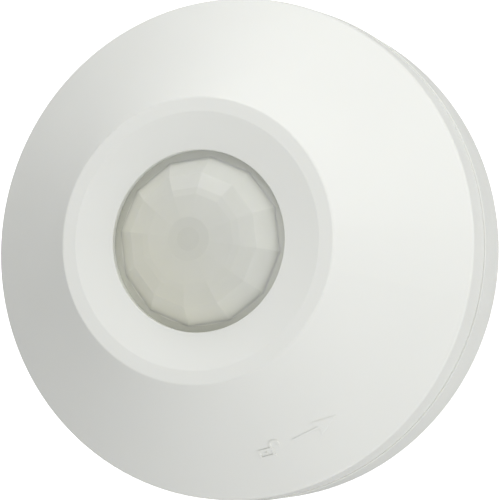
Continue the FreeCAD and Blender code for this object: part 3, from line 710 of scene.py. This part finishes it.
def can_capacitors():
    """Electrolytic capacitors: shrunk sleeve over an aluminium can with a crimp, and a bare top."""
    mesh = bmesh.new()
    for low, high in solids("filter_capacitors"):
        x, y = (low[0] + high[0]) / 2, (low[1] + high[1]) / 2
        radius, foot, top = (high[0] - low[0]) / 2, low[2], high[2]
        crimp = foot + CAN_CRIMP_Z
        fold_r = radius + CAN_TOP[-1][0] - CAN_FOLD * radius
        fold_z = top - CAN_FOLD_THICK
        sleeve = [(0, foot)]
        sleeve += [(radius + aside, foot + rise) for aside, rise in CAN_FOOT]
        sleeve += [(radius, crimp - CAN_CRIMP_HALF), (radius - CAN_CRIMP_DEPTH, crimp),
                   (radius, crimp + CAN_CRIMP_HALF)]
        sleeve += [(radius + aside, top + rise) for aside, rise in CAN_TOP]
        sleeve += [(fold_r, top), (fold_r, fold_z), (0, fold_z)]
        lathe(mesh, x, y, sleeve, 0)
        bare_r = fold_r - BARE_GAP
        bare = [(share * bare_r, top + rise) for share, rise in BARE_TOP]
        lathe(mesh, x, y, [(0, bare[0][1])] + bare + [(0, bare[-1][1])], 1)
    aluminium = bare_metal("capacitor_aluminium", (0.7, 0.71, 0.72), 0.3)
    sleeved = [finish["capacitor_sleeve"], aluminium]
    board_piece("sleeved_capacitors", mesh, sleeved, "filter_capacitors")


def spring_height(turn, foot, head):
    """Height of the wire's centre: closed turns at both ends, and open ones between them."""
    if turn < SPRING_END_TURNS:
        return foot + turn * SPRING_WIRE
    if turn > SPRING_ALL_TURNS - SPRING_END_TURNS:
        return head - (SPRING_ALL_TURNS - turn) * SPRING_WIRE
    closed = SPRING_END_TURNS * SPRING_WIRE
    return foot + closed + (turn - SPRING_END_TURNS) / SPRING_TURNS * (head - foot - 2 * closed)


def wire_ring(mesh, x, y, z, coil_r, turn):
    """Cross-section of the wire at one place along the coil."""
    angle = 2 * math.pi * turn
    outward = Vector((math.cos(angle), math.sin(angle), 0))
    upward = Vector((0, 0, 1))
    centre = Vector((x, y, z)) + outward * coil_r
    ring = []
    for i in range(WIRE_SIDES):
        a = 2 * math.pi * i / WIRE_SIDES
        arm = outward * math.cos(a) + upward * math.sin(a)
        ring.append(mesh.verts.new(centre + arm * SPRING_WIRE / 2))
    return ring


def round_spring():
    """Coil spring of round wire with closed ends."""
    low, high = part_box("tamper_spring")
    x, y = (low[0] + high[0]) / 2, (low[1] + high[1]) / 2
    coil_r = (high[0] - low[0] - SPRING_WIRE) / 2
    foot, head = low[2] + SPRING_WIRE / 2, high[2] - SPRING_WIRE / 2
    mesh = bmesh.new()
    rings = []
    for i in range(round(SPRING_ALL_TURNS * SPRING_STEPS) + 1):
        turn = i / SPRING_STEPS
        z = spring_height(turn, foot, head)
        rings.append(wire_ring(mesh, x, y, z, coil_r, turn))
    for a, b in zip(rings, rings[1:]):
        quads(mesh, a, b)
    mesh.faces.new(rings[0])
    mesh.faces.new(rings[-1][::-1])
    spring = mesh_object("round_spring", mesh, [finish["spring_steel"]], sharp_angle=50)
    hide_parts("tamper_spring")
    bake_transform(spring)


def small_parts():
    alumina = moulded("alumina", (0.75, 0.74, 0.7), 0.5, 0.02)
    black, tan = finish["chip_ceramic"], finish["chip_capacitor_ceramic"]
    chip_parts("cap_ended_resistors", "chip_resistors", alumina, black)
    chip_parts("cap_ended_capacitors", "chip_capacitors", tan, tan)
    can_capacitors()
    round_spring()


# ---------------------------------------------------------------- studio and camera
def make_camera():
    """Camera above the +X side, looking down at the front of the detector."""
    toward = Vector((math.sin(CAMERA_TILT), 0, math.cos(CAMERA_TILT)))
    level = Vector((math.cos(CAMERA_TILT), 0, -math.sin(CAMERA_TILT)))
    upward = Vector((0, 1, 0))
    right = level * math.cos(CAMERA_ROLL) + upward * math.sin(CAMERA_ROLL)
    up = upward * math.cos(CAMERA_ROLL) - level * math.sin(CAMERA_ROLL)
    place = toward * CAMERA_DISTANCE - right * CAMERA_ASIDE + up * CAMERA_BELOW
    data = bpy.data.cameras.new("camera")
    data.lens = CAMERA_LENS
    data.sensor_width = CAMERA_SENSOR
    camera = bpy.data.objects.new("camera", data)
    camera.matrix_world = Matrix.Translation(place) @ Matrix((right, up, toward)).transposed().to_4x4()
    bpy.context.scene.collection.objects.link(camera)
    bpy.context.scene.camera = camera


def make_bench():
    """White bench under the detector. It lights nothing: the sky's lower half stands for its bounce."""
    corners = [(-BENCH_HALF, -BENCH_HALF, 0), (BENCH_HALF, -BENCH_HALF, 0),
               (BENCH_HALF, BENCH_HALF, 0), (-BENCH_HALF, BENCH_HALF, 0)]
    mesh = bpy.data.meshes.new("bench")
    mesh.from_pydata(corners, [], [(0, 1, 2, 3)])
    mesh.materials.append(principled("bench_white", (0.9, 0.9, 0.9), 0.8,
                                     Emission_Color=(1, 1, 1, 1), Emission_Strength=BENCH_GLOW))
    bench = bpy.data.objects.new("bench", mesh)
    bench.location.z = -BENCH_BELOW
    bpy.context.scene.collection.objects.link(bench)
    bench.visible_diffuse = False
    bench.visible_glossy = False
    bench.visible_transmission = False


def make_sky():
    """Soft light that is strongest on the right and along both sides, and weaker from below."""
    world = bpy.data.worlds.new("sky")
    world.use_nodes = True
    tree = world.node_tree
    x, y, z = axes(tree, "Generated")
    upper = math_node(tree, "GREATER_THAN", z)
    right = times(tree, math_node(tree, "MAXIMUM", x), SKY_RIGHT)
    sides = times(tree, math_node(tree, "ABSOLUTE", y), SKY_SIDES)
    bounce = plus(tree, times(tree, upper, 1 - SKY_BELOW), SKY_BELOW)
    around = times(tree, plus(tree, right, sides), bounce)
    level = plus(tree, times(tree, upper, SKY), around)
    backdrop = tree.nodes["Background"]
    backdrop.inputs["Color"].default_value = (1, 1, 1, 1)
    tree.links.new(level, backdrop.inputs["Strength"])
    bpy.context.scene.world = world


def make_key():
    """Broad sun that stands for the main studio light."""
    level = math.cos(KEY_HEIGHT)
    toward = Vector((math.cos(KEY_AZIMUTH) * level, math.sin(KEY_AZIMUTH) * level, math.sin(KEY_HEIGHT)))
    data = bpy.data.lights.new("key", "SUN")
    data.energy = KEY_STRENGTH
    data.angle = KEY_SPREAD
    key = bpy.data.objects.new("key", data)
    key.rotation_mode = "QUATERNION"
    key.rotation_quaternion = toward.to_track_quat("Z", "Y")
    bpy.context.scene.collection.objects.link(key)


make_camera()
make_bench()
make_sky()
make_key()
bpy.context.scene.view_settings.view_transform = "Standard"
finish = finishes()
dress_nodes()
fresnel_lens()
small_parts()
